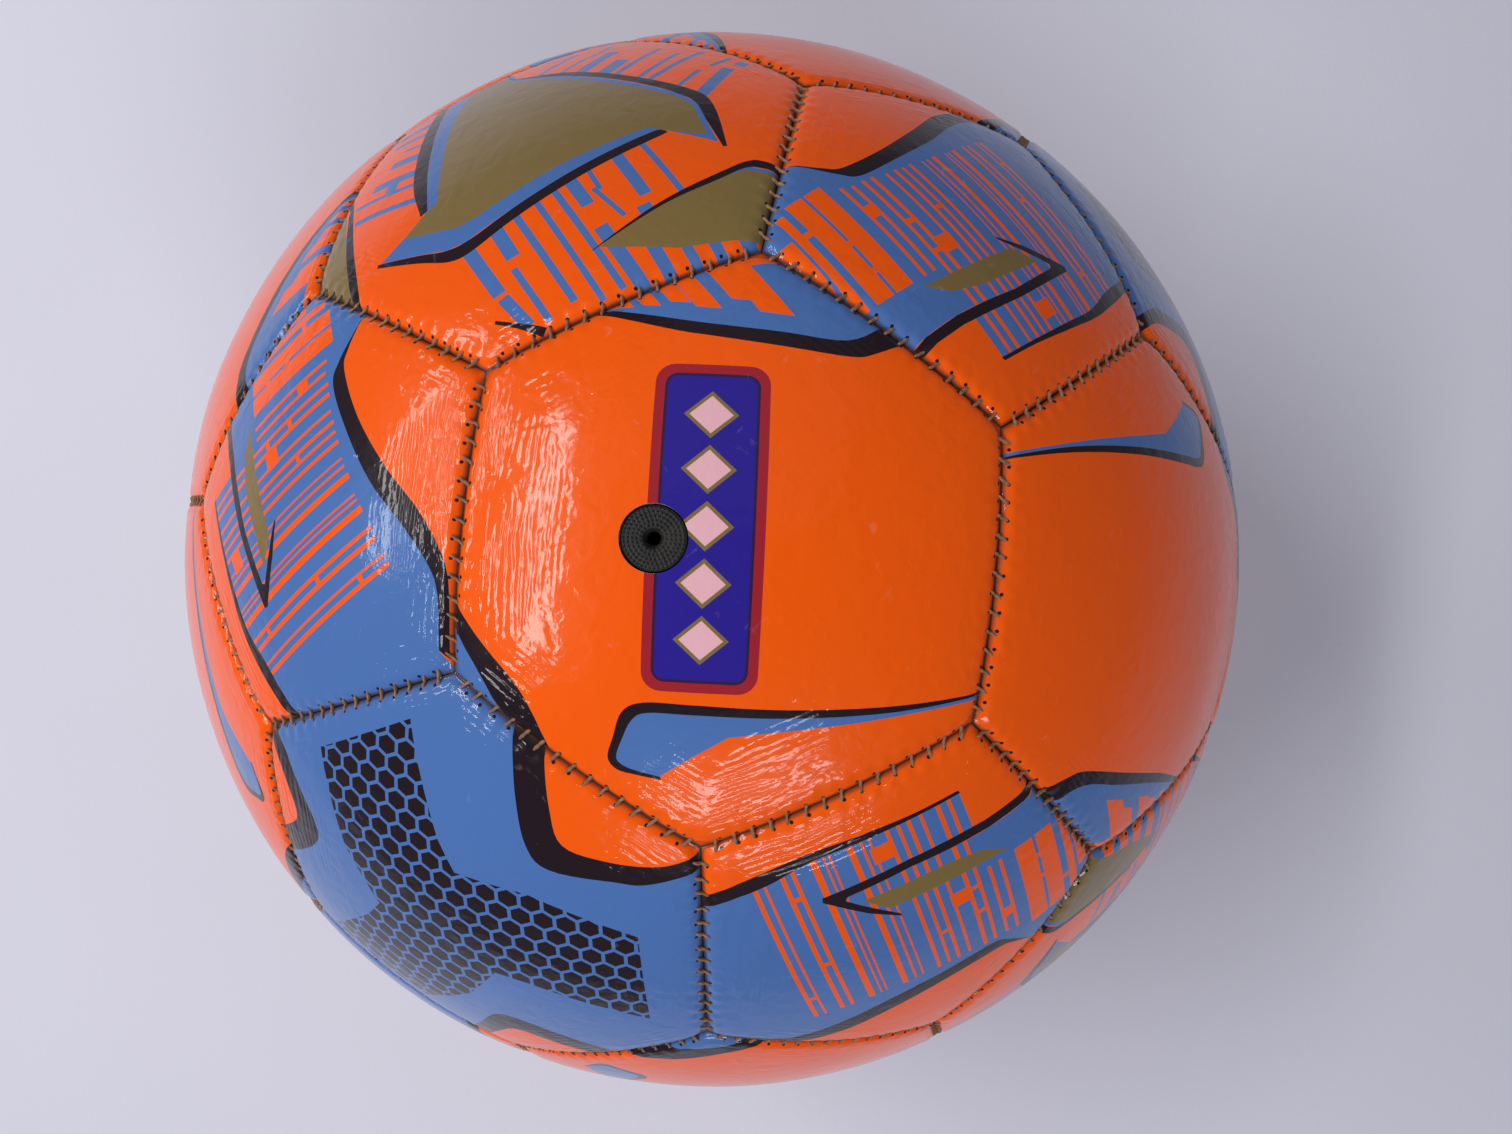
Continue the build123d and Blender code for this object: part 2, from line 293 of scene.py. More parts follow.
def star_print():
    """The hexagon with a three-armed gold figure, barcode strokes between its arms, and two gold shards."""
    shapes = []
    strokes = [
        ((22.4, 9), (25.2, 21), 2.2), ((18.4, 12), (20.6, 19), 0.9),
        ((12.8, 13), (19.2, 28.5), 1.1), ((11, 14), (15.4, 27), 1.0), ((7, 16), (11.4, 30), 1.1),
        ((4.6, 17), (6.6, 24), 2.6), ((0, 18), (3.2, 30), 2.3), ((-3.8, 20), (-1, 28), 1.0),
        ((-8.4, 21), (-4.6, 33), 1.3), ((22, 21), (24.6, 26), 0.9),
        ((26.6, 22.4), (27.2, 24.6), 2.2), ((-0.6, 28), (1, 35), 1.0),
        ((16.4, -3.6), (25.6, -14.6), 1.0), ((13.4, -6.6), (19.4, -14.4), 1.9),
        ((9.4, -9), (12.6, -13.6), 0.8), ((7.4, -11.4), (11.4, -16.6), 2.0),
        ((11.4, -13.4), (17.2, -18.6), 0.8), ((5.2, -13), (19.4, -31.4), 1.1),
        ((3.4, -15.6), (16.8, -33.4), 1.0), ((0.8, -18), (12.6, -33.6), 1.2),
        ((-2, -20), (2, -25.6), 2.2), ((-6, -23), (1, -32), 2.2), ((2.4, -27.6), (9.4, -36.8), 1.1),
        ((1.6, -32.6), (6.4, -37.6), 2.0), ((14, -20.6), (23.6, -32.6), 2.2),
        ((19.4, -16.4), (21.6, -19.4), 2.2), ((21.4, -22.6), (26.4, -29.6), 2.0),
        ((26.6, -22.8), (30, -27.4), 1.6), ((30, -21), (34.4, -26.8), 1.8),
        ((33.6, -18), (38, -24), 2.4), ((-31, -2.6), (-18, -2.4), 2.0),
        ((-34, -6.2), (-17, -5.8), 1.0), ((-32, -10.4), (-16, -10), 1.3),
        ((-29.4, 3), (-20, 2.6), 2.1), ((-28.6, 7), (-22, 6.6), 0.9), ((-33, 10.8), (-22, 11), 1.3),
        ((-27, -4.2), (-24.6, -4.2), 3.4), ((-39, 14.6), (-24, 15), 2.2),
        ((-36, 19), (-27, 19.4), 1.0),
    ]
    for start, end, width in strokes:
        shapes.append((BLUE, bar(start, end, width), None))

    figure = [
        (-28, 48), (-31, 36), (-27.4, 26), (-23.6, 13), (-20.6, 3), (-18, -5.4), (-15.5, -14.4),
        (-18.4, -18.6), (-21.8, -22.4), (-9.4, -22.8), (-6.4, -21.8), (0, -16.3), (8, -9.2),
        (18.6, -0.2), (27.8, -2), (25.2, 2.6), (22.6, 7.6), (19.4, 9.9), (0, 18.1), (-13, 23.7),
        (-17, 31), (-20, 48),
    ]
    gold = [
        (-24, 48), (-25, 38), (-22.6, 24), (-19.6, 10), (-17, 0), (-13.9, -12.2), (-15.8, -14.8),
        (-18.2, -18.7), (-8.6, -18.6), (-5.6, -17), (5, -8.2), (16.4, 0.2), (19.6, -0.4),
        (25.8, -0.6), (22, 6.8), (20, 8.6), (0, 16.8), (-13.6, 23), (-18, 30), (-21, 48),
    ]
    shapes += [(BLUE, np.array(figure, float), None), (GOLD, np.array(gold, float), None)]
    top_out = [
        (-20, 36), (-17.4, 30.4), (-13, 24.5), (0, 20), (12, 15.2), (20, 12), (23.6, 9.8),
        (26.2, 5.4), (29.3, -2.7),
    ]
    top_in = [
        (-20.3, 36), (-17.6, 30), (-13, 23.8), (0, 18.2), (12, 13.2), (19, 10), (22.4, 7.6),
        (25, 3), (28.7, -2.9),
    ]
    low_out = [
        (19.4, -0.4), (19, -1.6), (10, -9.8), (0, -19), (-5, -23.6), (-8.4, -25), (-14, -24.2),
        (-22.4, -23.1),
    ]
    low_in = [
        (18.6, -0.2), (17, -1.2), (9, -8.2), (0, -16.3), (-5.6, -21.2), (-9.4, -22.8), (-14, -22.7),
        (-22.4, -22.4),
    ]
    left_out = [(-36, 44), (-33.4, 34), (-27.8, 18), (-23.4, 3), (-20.2, -7), (-16.2, -14.6)]
    left_in = [(-32, 44), (-30.4, 35), (-25.2, 18), (-20.8, 3.6), (-18.3, -4.6), (-15.2, -13.6)]
    for one, other in ((top_out, top_in), (low_out, low_in), (left_out, left_in)):
        shapes.append((BLACK, band(one, other), None))

    shard = [
        (14.6, -24.4), (21, -16.6), (26.4, -11.8), (33, -7.4), (44, -7), (44, -20), (34, -21.6),
        (26, -24),
    ]
    shard_edge = [(26.6, -12), (33, -6.6), (44, -6.4), (44, -9), (34, -8.6), (27, -13.4)]
    shapes.append((BLUE, np.array(shard_edge, float), None))
    shapes.append((GOLD, np.array(shard, float), None))
    over = [(13.6, -25), (22, -15.6), (29, -9), (33, -5.4), (36, -4.8), (44, -5.6)]
    under = [(13.8, -25), (22.4, -16.2), (29, -10.6), (33, -7), (36, -6.4), (44, -6.6)]
    shapes.append((BLACK, band(over, under), None))
    left_shard = [
        (-48, 10), (-41.6, 5.4), (-36, -6), (-31.8, -16.4), (-26.4, -28.6), (-28, -33), (-36, -27),
        (-43, -8),
    ]
    shapes.append((GOLD, np.array(left_shard, float), None))
    outer, inner = [(-33.4, -12.6), (-30, -20.4), (-27, -27.6)], [(-31.8, -13), (-29, -20), (-26.4, -27)]
    shapes.append((BLUE, band(outer, inner), None))
    over = [(-40.4, 6), (-34.4, -6), (-30, -16), (-25.6, -27), (-25, -33)]
    under = [(-40.6, 5.4), (-35.2, -7), (-31.6, -16.6), (-27.4, -27.6), (-27, -33)]
    shapes.append((BLACK, band(over, under), None))
    dash = band([(1, -36.4), (4.4, -37), (9, -37.8)], [(1, -37), (4.4, -37.9), (8.4, -39.2)])
    shapes.append((BLACK, dash, None))
    return shapes


def bars_print():
    """The pentagon: blue between two black bands, orange barcode strokes, a black tick and a gold shard."""
    top_band = [
        (-24, 24), (-19.6, 19.6), (-16, 15.4), (-13, 13.3), (-5, 13.3), (5, 14.2), (13, 16.1),
        (20, 17.2), (25, 16.4), (32, 12),
    ]
    low_band = [(28, -22), (22, -22.6), (15, -23.3), (8, -23.7), (0, -23.1), (-8, -22.4), (-15.6, -22.1)]
    tick_top = [
        (-34, -16.6), (-28, -14), (-25, -13.2), (-18, -12.8), (-12, -13.1), (-5, -13.7), (3, -13.7),
    ]
    right_side, left_side = [(44, 12), (30, -20)], [(-44, -16), (-44, 24)]
    under_tick = bend(tick_top)[::-1]
    field = np.vstack([bend(top_band), right_side, bend(low_band), [(-15.6, -14.2)], under_tick, left_side])
    strokes = [
        box(-40, -31.6, -6, 9.6), box(-31, -29.4, -5.5, 14), box(-28, -24.6, -5.5, 15),
        box(-24, -20.6, -5.5, 15), box(-24.8, -23.8, 4, 5), box(-24.8, -23.8, -1.4, -0.4),
        box(-30, -27.8, 8.6, 9.6), box(-18.2, -17.6, -5.5, 13), box(-16.2, -15.6, -5.5, 12.4),
        box(-17.8, -16, 6, 8.4), box(-14, -13.4, -21.6, 12.4), box(-12.2, -11.5, -21.6, 12.2),
        box(-13.6, -12, 2.5, 3.4), box(-13.6, -12, -3.4, -2.6), box(-12, -8.7, -4.1, -1.1),
        box(-9.3, -8.8, -21.8, 11.6), box(-7.4, -6.8, -21.8, 11.6), box(-5.7, -5.2, -21.8, 11.4),
        box(-7, -5.4, 2.6, 3.3), box(-4, -3.4, -22, 11.4), box(-3.6, -0.4, -20, -17),
        box(-1.1, -0.8, -22, 11), box(0.1, 0.5, -22, 11), box(1.6, 2.5, -22, 11.2),
        box(5, 5.3, -22.4, 11), box(5.9, 6.2, -22.4, 11), box(7.1, 8.1, -22.4, 11.2),
        box(10.6, 11.2, -22.2, 11.4), box(12.2, 12.9, -22.2, 11.4), box(11, 12.4, -1.9, -1.1),
        box(11, 12.4, -16.9, -16.1), box(15.2, 15.6, -22, 11.6), box(16.6, 17.3, -22, 11.6),
        box(15.4, 16.8, 5.6, 6.4),
    ]
    shapes = [(BLUE, field, None)] + [(ORANGE, stroke, field) for stroke in strokes]
    shard = [(-19.6, -6.7), (0, -7.9), (3.3, -11.6), (-10, -10.8), (-16, -9.4)]
    shapes.append((GOLD, np.array(shard, float), None))
    top_edge = [
        (-24, 24), (-20, 20.3), (-17, 17.6), (-14, 16), (-5, 16), (5, 17.6), (13, 19.6), (20, 20),
        (25, 18.4), (34, 12.4),
    ]
    shapes.append((BLACK, band(top_edge, top_band), None))
    low_edge = [(28, -20), (22, -20.4), (15, -20.9), (8, -22.2), (0, -22), (-8, -21.7), (-15.8, -21.5)]
    shapes.append((BLACK, band(low_edge, low_band), None))
    tick = [
        (8.6, -14.2), (3, -8.6), (-1.3, -5.2), (-1, -6), (3.6, -10.8), (5.5, -12.9), (5, -13.5),
        (-5, -13.7), (-12, -13.1), (-18, -12.8), (-25, -13.2), (-28, -14), (-34, -16.6),
        (-34, -18.6), (-28, -15.7), (-24, -14.8), (-18, -14.5), (-12, -14.8), (-5, -15.2),
        (8.4, -15.1),
    ]
    shapes.append((BLACK, np.array(tick, float), None))
    return shapes


PRINTS = {"plain": plain_print, "mesh": mesh_print, "star": star_print, "bars": bars_print}
GROUND = {"plain": ORANGE, "mesh": BLUE, "star": ORANGE, "bars": ORANGE}


# ---------------------------------------------------------------- the puckered surface


def value_noise(x, y, seed):
    """Smooth noise from -1 to 1."""
    xi, yi = np.floor(x), np.floor(y)
    fx, fy = x - xi, y - yi
    fx, fy = fx * fx * (3 - 2 * fx), fy * fy * (3 - 2 * fy)

    def at(i, j):
        return np.abs(np.modf(np.sin(i * 127.1 + j * 311.7 + seed * 74.7) * 43758.5453)[0]) * 2 - 1

    low = at(xi, yi) * (1 - fx) + at(xi + 1, yi) * fx
    high = at(xi, yi + 1) * (1 - fx) + at(xi + 1, yi + 1) * fx
    return low * (1 - fy) + high * fy


def plane_of(sides):
    return HEX_PLANE if sides == 6 else PENT_PLANE


def directions(sides, x, y):
    """Directions from the ball's centre, in the panel's own frame, of points on its flat plane."""
    d = np.stack([x, y, np.full_like(x, plane_of(sides))], -1)
    return d / np.linalg.norm(d, axis=-1, keepdims=True)


def seam_places(sides, x, y):
    """For each seam, every point's distance in from it and place along it, in millimetres on the ball."""
    d = directions(sides, x, y)
    outline = corners(sides)
    places = []
    for k in range(sides):
        a = unit(np.array([*outline[k], plane_of(sides)]))
        b = unit(np.array([*outline[(k + 1) % sides], plane_of(sides)]))
        inward, way = unit(np.cross(a, b)), unit(b - a)
        places.append((BALL_RADIUS * np.arcsin(d @ inward), BALL_RADIUS * np.arcsin(d @ way)))
    return places


def surface(sides, seed, x, y):
    """The skin's height over the ball's centre, its puckering, and its place along and in from the seam.

    The skin drops into a narrow crease at each seam, and slopes gently down to it from further in. Its
    folds run along the seam and fade inwards, and each stitch pulls it down a little.
    """
    places = seam_places(sides, x, y)
    distance = np.stack([p[0] for p in places])
    nearest = distance.argmin(0)
    soft = -np.log(np.exp(-distance / CORNER_BLEND).sum(0)) * CORNER_BLEND
    inside = np.clip(soft, 0.0, None)
    crease = CREASE_DEPTH * np.exp(-((inside / CREASE_WIDTH) ** 1.4))
    drop = crease + 0.25 * np.exp(-inside / 2.5) + 0.1 * np.exp(-inside / 8)
    weight = np.exp(-(distance - distance.min(0)) / 1.5)
    weight /= weight.sum(0)
    ripple, strength = np.zeros_like(x), np.zeros_like(x)
    for k, (d, s) in enumerate(places):
        power = 0.35 + 0.65 * abs(value_noise(np.array([seed * 3.7]), np.array([k * 5.3]), 5.0)[0])
        reach = np.exp(-d / FOLD_REACH) * power * weight[k]
        fold = value_noise(s / 7.5, d / 1.5 + 0.8 * np.sin(s / 6 + seed), seed * 6 + k)
        fold += 0.5 * value_noise(s / 4, d / 0.85, seed * 6 + k + 50)
        pull = 0.5 - 0.5 * np.cos(2 * np.pi * (s / STITCH_PITCH))
        dimple = STITCH_PULL * (pull - 0.5) * np.exp(-(((d - 1.6) / 1.1) ** 2))
        ripple += reach * FOLD_HEIGHT * fold + weight[k] * dimple
        strength += reach
    order = np.sort(distance, axis=0)
    strength *= 1 - np.exp(-(order[1] - order[0]) / 2)
    ripple += 0.10 * value_noise(x / 17, y / 17, seed + 90)
    near = np.take_along_axis(np.stack([p[1] for p in places]), nearest[None], 0)[0]
    return BALL_RADIUS - drop + ripple, strength, near, distance.min(0)


def skin_points(sides, seed, x, y):
    height = surface(sides, seed, x, y)[0]
    return directions(sides, x, y) * height[:, None]


def skin_normals(sides, seed, x, y, step=0.12):
    """Normals of the puckered skin itself, so that the print's edges leave no mark in the shading."""
    over_x = skin_points(sides, seed, x + step, y) - skin_points(sides, seed, x - step, y)
    over_y = skin_points(sides, seed, x, y + step) - skin_points(sides, seed, x, y - step)
    n = np.cross(over_x, over_y)
    return n / np.linalg.norm(n, axis=1, keepdims=True)


# ---------------------------------------------------------------- panel meshes


def hole_shade_rings(sides):
    """Small black rings along a panel's outline: painted shade standing in for the holes that the stitches
    go into.
    """
    outline = corners(sides, 1.0)
    found = []
    for a, b in zip(outline, np.roll(outline, -1, 0)):
        middle, way = (a + b) / 2, unit(b - a)
        pitch = STITCH_PITCH * plane_of(sides) / BALL_RADIUS * 1.02
        for k in range(STITCHES):
            found.append(ring(middle + way * (k - (STITCHES - 1) / 2) * pitch, 0.3, 6))
    return found


def valve_hole(panel, radius):
    """The valve's round hole on the valve panel's flat plane."""
    angles = 2 * np.pi * np.arange(48) / 48
    height = np.full(48, BALL_RADIUS)
    local = np.column_stack([radius * np.cos(angles), radius * np.sin(angles), height]) @ panel
    return local[:, :2] / local[:, 2:] * HEX_PLANE


def closed_loop(points):
    """The outline with points added along it, anticlockwise."""
    points = np.asarray(points, float)
    after = np.roll(points, -1, 0)
    if (points[:, 0] * after[:, 1] - points[:, 1] * after[:, 0]).sum() < 0:
        points = points[::-1]
    return along(np.vstack([points, points[:1]]))[:-1]


def free_points(sides):
    """Points that carry the skin's shape between the print's edges: rings along the seams, then grids."""
    found = []
    for inset, step in ((0.35, 0.9), (0.7, 0.8), (1.15, 0.75), (1.7, 0.75), (2.35, 0.75), (3.05, 0.75)):
        outline = corners(sides, inset)
        found.append(along(np.vstack([outline, outline[:1]]), step)[:-1])
    for pitch, low, high in ((0.85, 3.5, 12.0), (1.25, 12.0, 60.0)):
        rows = np.arange(-HEX_CORNER, HEX_CORNER, pitch * 0.866)
        columns = np.arange(-HEX_CORNER, HEX_CORNER, pitch)
        grid = np.array([(x + (k % 2) * pitch / 2, y) for k, y in enumerate(rows) for x in columns])
        depth = np.min([d for d, _ in seam_places(sides, grid[:, 0], grid[:, 1])], axis=0)
        found.append(grid[(depth > low) & (depth <= high)])
    return np.vstack(found)


def cut_panel(sides, ground, shapes, hole):
    """(points, triangles, ink of each triangle) of a flat panel with its print."""
    outline = corners(sides, 0.12)
    outline = along(np.vstack([outline, outline[:1]]), 0.9)[:-1]
    loops = [outline]
    regions = {}
    for _, _, region in shapes:
        if region is not None and id(region) not in regions:
            regions[id(region)] = len(loops)
            loops.append(closed_loop(region))
    first = len(loops)
    loops += [closed_loop(shape) for _, shape, _ in shapes]
    hole_shade_at = len(loops)
    loops += hole_shade_rings(sides)
    if hole is not None:
        loops.append(hole)
    fixed = np.vstack(loops)
    free = free_points(sides)
    apart = np.array([np.abs(fixed - p).sum(1).min() for p in free])
    free = free[apart > 0.42]
    points = [Vector(p) for p in np.vstack([fixed, free])]
    faces, at = [], 0
    for loop in loops:
        faces.append(list(range(at, at + len(loop))))
        at += len(loop)
    found, _, triangles, _, _, sources = delaunay_2d_cdt(points, [], faces, 1, 1e-5)
    kept, inks = [], []
    for triangle, source in zip(triangles, sources):
        source = set(source)
        if 0 not in source or (hole is not None and len(loops) - 1 in source):
            continue
        ink = ground
        for k in sorted(i for i in source if first <= i):
            # Inside a needle-hole ring the ink is black, painted shade for the hole.
            if k >= hole_shade_at:
                ink = BLACK
            elif shapes[k - first][2] is None or regions[id(shapes[k - first][2])] in source:
                ink = shapes[k - first][0]
        kept.append(triangle)
        inks.append(ink)
    points = np.array([tuple(p) for p in found])
    used = np.unique(np.array(kept))
    renumbered = np.full(len(points), -1)
    renumbered[used] = np.arange(len(used))
    return points[used], renumbered[np.array(kept)], np.array(inks)


def rim_edges(triangles):
    """The open edges of the cut panel, each running the way its triangle does."""
    edges = np.vstack([triangles[:, [0, 1]], triangles[:, [1, 2]], triangles[:, [2, 0]]])
    known = {(a, b) for a, b in edges.tolist()}
    return [(a, b) for a, b in sorted(known) if (b, a) not in known]


def panel_object(name, sides, panel, flat, seed, material):
    points, triangles, inks = flat
    x, y = points[:, 0], points[:, 1]
    _, strength, near, depth = surface(sides, seed, x, y)
    top = skin_points(sides, seed, x, y)
    normals = skin_normals(sides, seed, x, y)
    edges = rim_edges(triangles)
    rim = sorted({a for edge in edges for a in edge})
    lower = {a: len(points) + k for k, a in enumerate(rim)}
    lengths = np.linalg.norm(top[rim], axis=1)
    seam_side = depth[rim] < 1.0
    bottom = top[rim] / lengths[:, None] * np.where(seam_side, RIM_BOTTOM, BALL_RADIUS - 0.6)[:, None]
    walls = [(b, a, lower[a], lower[b]) for a, b in edges]
    mesh = bpy.data.meshes.new(name)
    placed = np.vstack([top, bottom]) @ panel.T * MM
    mesh.from_pydata(placed.tolist(), [], triangles.tolist() + walls)
    mesh.update()
    mesh.shade_smooth()
    side = np.column_stack([bottom[:, 0], bottom[:, 1], np.zeros(len(rim))])
    turned_normals = np.vstack([normals, side / np.linalg.norm(side, axis=1, keepdims=True)]) @ panel.T
    mesh.normals_split_custom_set_from_vertices(turned_normals.tolist())
    colours = np.ones((len(mesh.polygons), 4))
    colours[: len(inks), :3] = inks
    colours[len(inks) :, :3] = (0.5, 0.48, 0.45)
    ink = mesh.attributes.new("ink", "FLOAT_COLOR", "FACE")
    ink.data.foreach_set("color", colours.ravel())
    pad = np.zeros(len(rim))
    for label, values in (("pucker", strength), ("seam", depth)):
        attribute = mesh.attributes.new(label, "FLOAT", "POINT")
        attribute.data.foreach_set("value", np.concatenate([values, pad]))
    track = np.column_stack([near + 40 * seed, depth, np.full(len(depth), seed * 3.0)])
    track = np.vstack([track, np.zeros((len(rim), 3))])
    mesh.attributes.new("track", "FLOAT_VECTOR", "POINT").data.foreach_set("vector", track.ravel())
    mesh.materials.append(material)
    made = bpy.data.objects.new(name, mesh)
    bpy.context.scene.collection.objects.link(made)
    return made


# ---------------------------------------------------------------- materials


class Nodes:
    """A material's node tree, built by name."""

    def __init__(self, name):
        self.material = bpy.data.materials.new(name)
        self.material.use_nodes = True
        self.tree = self.material.node_tree
        self.shader = self.tree.nodes["Principled BSDF"]

    def add(self, kind, **settings):
        node = self.tree.nodes.new("ShaderNode" + kind)
        for key, value in settings.items():
            setattr(node, key, value)
        return node

    def link(self, source, target):
        self.tree.links.new(source, target)

    def noise(self, scale, detail=3.0, roughness=0.55, vector=None, distortion=0.0):
        node = self.add("TexNoise")
        node.inputs["Scale"].default_value = scale
        node.inputs["Detail"].default_value = detail
        node.inputs["Roughness"].default_value = roughness
        node.inputs["Distortion"].default_value = distortion
        self.link(vector or self.coordinates(), node.inputs["Vector"])
        return node.outputs["Fac"]

    def stretched(self, vector, scale):
        node = self.add("Mapping")
        node.inputs["Scale"].default_value = scale
        self.link(vector, node.inputs["Vector"])
        return node.outputs["Vector"]

    def coordinates(self):
        return self.add("TexCoord").outputs["Object"]

    def ramp(self, value, low, high, start=0.0, end=1.0):
        node = self.add("MapRange")
        for key, number in zip(("From Min", "From Max", "To Min", "To Max"), (low, high, start, end)):
            node.inputs[key].default_value = number
        self.link(value, node.inputs["Value"])
        return node.outputs["Result"]

    def maths(self, operation, one, other=0.0):
        node = self.add("Math", operation=operation)
        for socket, value in zip(node.inputs, (one, other)):
            if isinstance(value, (int, float)):
                socket.default_value = value
            else:
                self.link(value, socket)
        return node.outputs[0]

    def mix(self, factor, one, other, blend="MIX"):
        node = self.add("Mix", data_type="RGBA", blend_type=blend)
        for socket, value in zip((node.inputs[0], node.inputs[6], node.inputs[7]), (factor, one, other)):
            if isinstance(value, (int, float)):
                socket.default_value = value
            elif isinstance(value, tuple):
                socket.default_value = (*value, 1.0)
            else:
                self.link(value, socket)
        return node.outputs[2]

    def bump(self, height, distance, strength=1.0, under=None):
        node = self.add("Bump")
        node.inputs["Distance"].default_value = distance
        if isinstance(strength, (int, float)):
            node.inputs["Strength"].default_value = strength
        else:
            self.link(strength, node.inputs["Strength"])
        self.link(height, node.inputs["Height"])
        if under is not None:
            self.link(under, node.inputs["Normal"])
        return node.outputs["Normal"]

    def finish(self, colour, roughness, normal, **values):
        self.link(colour, self.shader.inputs["Base Color"])
        self.link(roughness, self.shader.inputs["Roughness"])
        self.link(normal, self.shader.inputs["Normal"])
        for key, value in values.items():
            self.shader.inputs[key.replace("_", " ")].default_value = value
        return self.material


def printed_pvc():
    """Glossy printed PVC: fine grain, folds in its clear coat along the seams, scuffs, and seam creases
    darkened by dirt and painted shade.
    """
    n = Nodes("printed_pvc")
    ink = n.add("Attribute", attribute_name="ink").outputs["Color"]
    pucker = n.add("Attribute", attribute_name="pucker").outputs["Fac"]
    seam = n.add("Attribute", attribute_name="seam").outputs["Fac"]
    track = n.add("Attribute", attribute_name="track").outputs["Vector"]
    wander = n.noise(1.0, 2.0, 0.5, n.stretched(track, (0.07, 0.16, 1.0)))
    patches = n.noise(1.0, 1.0, 0.5, n.stretched(track, (0.05, 0.10, 1.0)))
    parts = n.add("SeparateXYZ")
    n.link(track, parts.inputs[0])
    across = n.maths("MULTIPLY", parts.outputs["Y"], 5.6)
    folds = n.maths("SINE", n.maths("ADD", across, n.maths("MULTIPLY", wander, 15.0)))
    creases = n.noise(1.0, 2.0, 0.5, n.stretched(track, (0.20, 0.5, 1.0)), 0.8)
    grain = n.noise(2600.0, 2.0)
    mottle = n.noise(28.0, 4.0)
    scuffs = n.noise(170.0, 5.0, 0.7, None, 1.5)
    shade = n.mix(n.ramp(mottle, 0.3, 0.75, 0.0, 0.16), ink, (0.9, 0.75, 0.62), "MULTIPLY")
    worn = n.ramp(scuffs, 0.66, 0.8, 0.0, 0.22)
    colour = n.mix(worn, shade, (0.62, 0.5, 0.42))
    # The skin darkens towards the middle of each seam crease: partly dirt, partly painted shade where the
    # crease would be shadowed.
    seam_dirt_and_shade = n.ramp(seam, 0.12, 0.75, 0.95, 0.0)
    colour = n.mix(seam_dirt_and_shade, colour, (0.05, 0.022, 0.012))
    roughness = n.maths("ADD", n.ramp(mottle, 0.3, 0.7, 0.24, 0.36), n.ramp(scuffs, 0.62, 0.8, 0.0, 0.25))
    buckles = n.noise(330.0, 2.0, 0.45, None, 0.4)
    normal = n.bump(grain, 0.00003, 0.4)
    normal = n.bump(buckles, 0.00017, n.ramp(patches, 0.3, 0.6, 0.35, 1.0), normal)
    film = n.bump(creases, 0.00024, n.ramp(pucker, 0.02, 0.4), normal)
    shown = n.maths("MULTIPLY", n.ramp(pucker, 0.03, 0.2), n.ramp(patches, 0.40, 0.52))
    film = n.bump(folds, 0.00003, shown, film)
    coat = {"Coat_Weight": 0.5, "Coat_Roughness": 0.04, "Coat_IOR": 1.45}
    made = n.finish(colour, roughness, normal, Specular_IOR_Level=0.08, **coat)
    n.link(film, n.shader.inputs["Coat Normal"])
    return made


def twisted_thread():
    n = Nodes("twisted_thread")
    fibre = n.noise(1400.0, 4.0)
    patches = n.noise(60.0, 2.0)
    colour = n.mix(n.ramp(fibre, 0.3, 0.7), (0.13, 0.05, 0.016), (0.36, 0.17, 0.06))
    colour = n.mix(n.ramp(patches, 0.35, 0.7, 0.0, 0.5), colour, (0.11, 0.05, 0.025))
    roughness = n.ramp(fibre, 0.2, 0.8, 0.5, 0.75)
    return n.finish(colour, roughness, n.bump(fibre, 0.00012, 0.8), Sheen_Weight=0.3)


def rubber(name, colour_low, colour_high, scale):
    n = Nodes(name)
    grain = n.noise(scale, 4.0)
    dust = n.noise(90.0, 5.0, 0.65)
    colour = n.mix(n.ramp(grain, 0.3, 0.7), colour_low, colour_high)
    colour = n.mix(n.ramp(dust, 0.55, 0.75, 0.0, 0.12), colour, (0.30, 0.26, 0.22))
    roughness = n.ramp(dust, 0.3, 0.7, 0.36, 0.55)
    return n.finish(colour, roughness, n.bump(grain, 0.00005, 0.6), Specular_IOR_Level=0.25)


def woven_cloth():
    n = Nodes("woven_lining")
    sockets = []
    for direction in ("X", "Y", "Z"):
        wave = n.add("TexWave", wave_type="BANDS", bands_direction=direction)
        wave.inputs["Scale"].default_value = 420.0
        wave.inputs["Distortion"].default_value = 0.6
        n.link(n.coordinates(), wave.inputs["Vector"])
        sockets.append(wave.outputs["Fac"])
    weave = n.maths("MULTIPLY", n.maths("ADD", sockets[0], sockets[1]), n.maths("ADD", sockets[2], 0.4))
    colour = n.mix(n.ramp(weave, 0.2, 1.6), (0.50, 0.46, 0.38), (0.74, 0.71, 0.62))
    return n.finish(colour, n.ramp(weave, 0.0, 2.0, 0.85, 0.95), n.bump(weave, 0.0001, 0.5))


def closed_foam():
    n = Nodes("closed_foam")
    cells = n.add("TexVoronoi")
    cells.inputs["Scale"].default_value = 1500.0
    n.link(n.coordinates(), cells.inputs["Vector"])
    depth = cells.outputs["Distance"]
    colour = n.mix(n.ramp(depth, 0.0, 0.8), (0.78, 0.75, 0.66), (0.60, 0.56, 0.48))
    return n.finish(colour, n.ramp(n.noise(200.0), 0.3, 0.7, 0.7, 0.9), n.bump(depth, 0.0002, 0.5))


def pale_floor():
    n = Nodes("pale_floor")
    cloud = n.noise(3.0, 3.0)
    weave = n.noise(900.0, 2.0)
    colour = n.mix(n.ramp(cloud, 0.3, 0.7), (0.60, 0.60, 0.70), (0.66, 0.66, 0.76))
    return n.finish(colour, n.ramp(weave, 0.3, 0.7, 0.75, 0.9), n.bump(weave, 0.0002, 0.3))


# ---------------------------------------------------------------- stitches and valve


def add_mesh(name, points, faces, material):
    mesh = bpy.data.meshes.new(name)
    mesh.from_pydata((np.asarray(points) * MM).tolist(), [], faces)
    mesh.update()
    mesh.shade_smooth()
    mesh.materials.append(material)
    made = bpy.data.objects.new(name, mesh)
    bpy.context.scene.collection.objects.link(made)
    return made


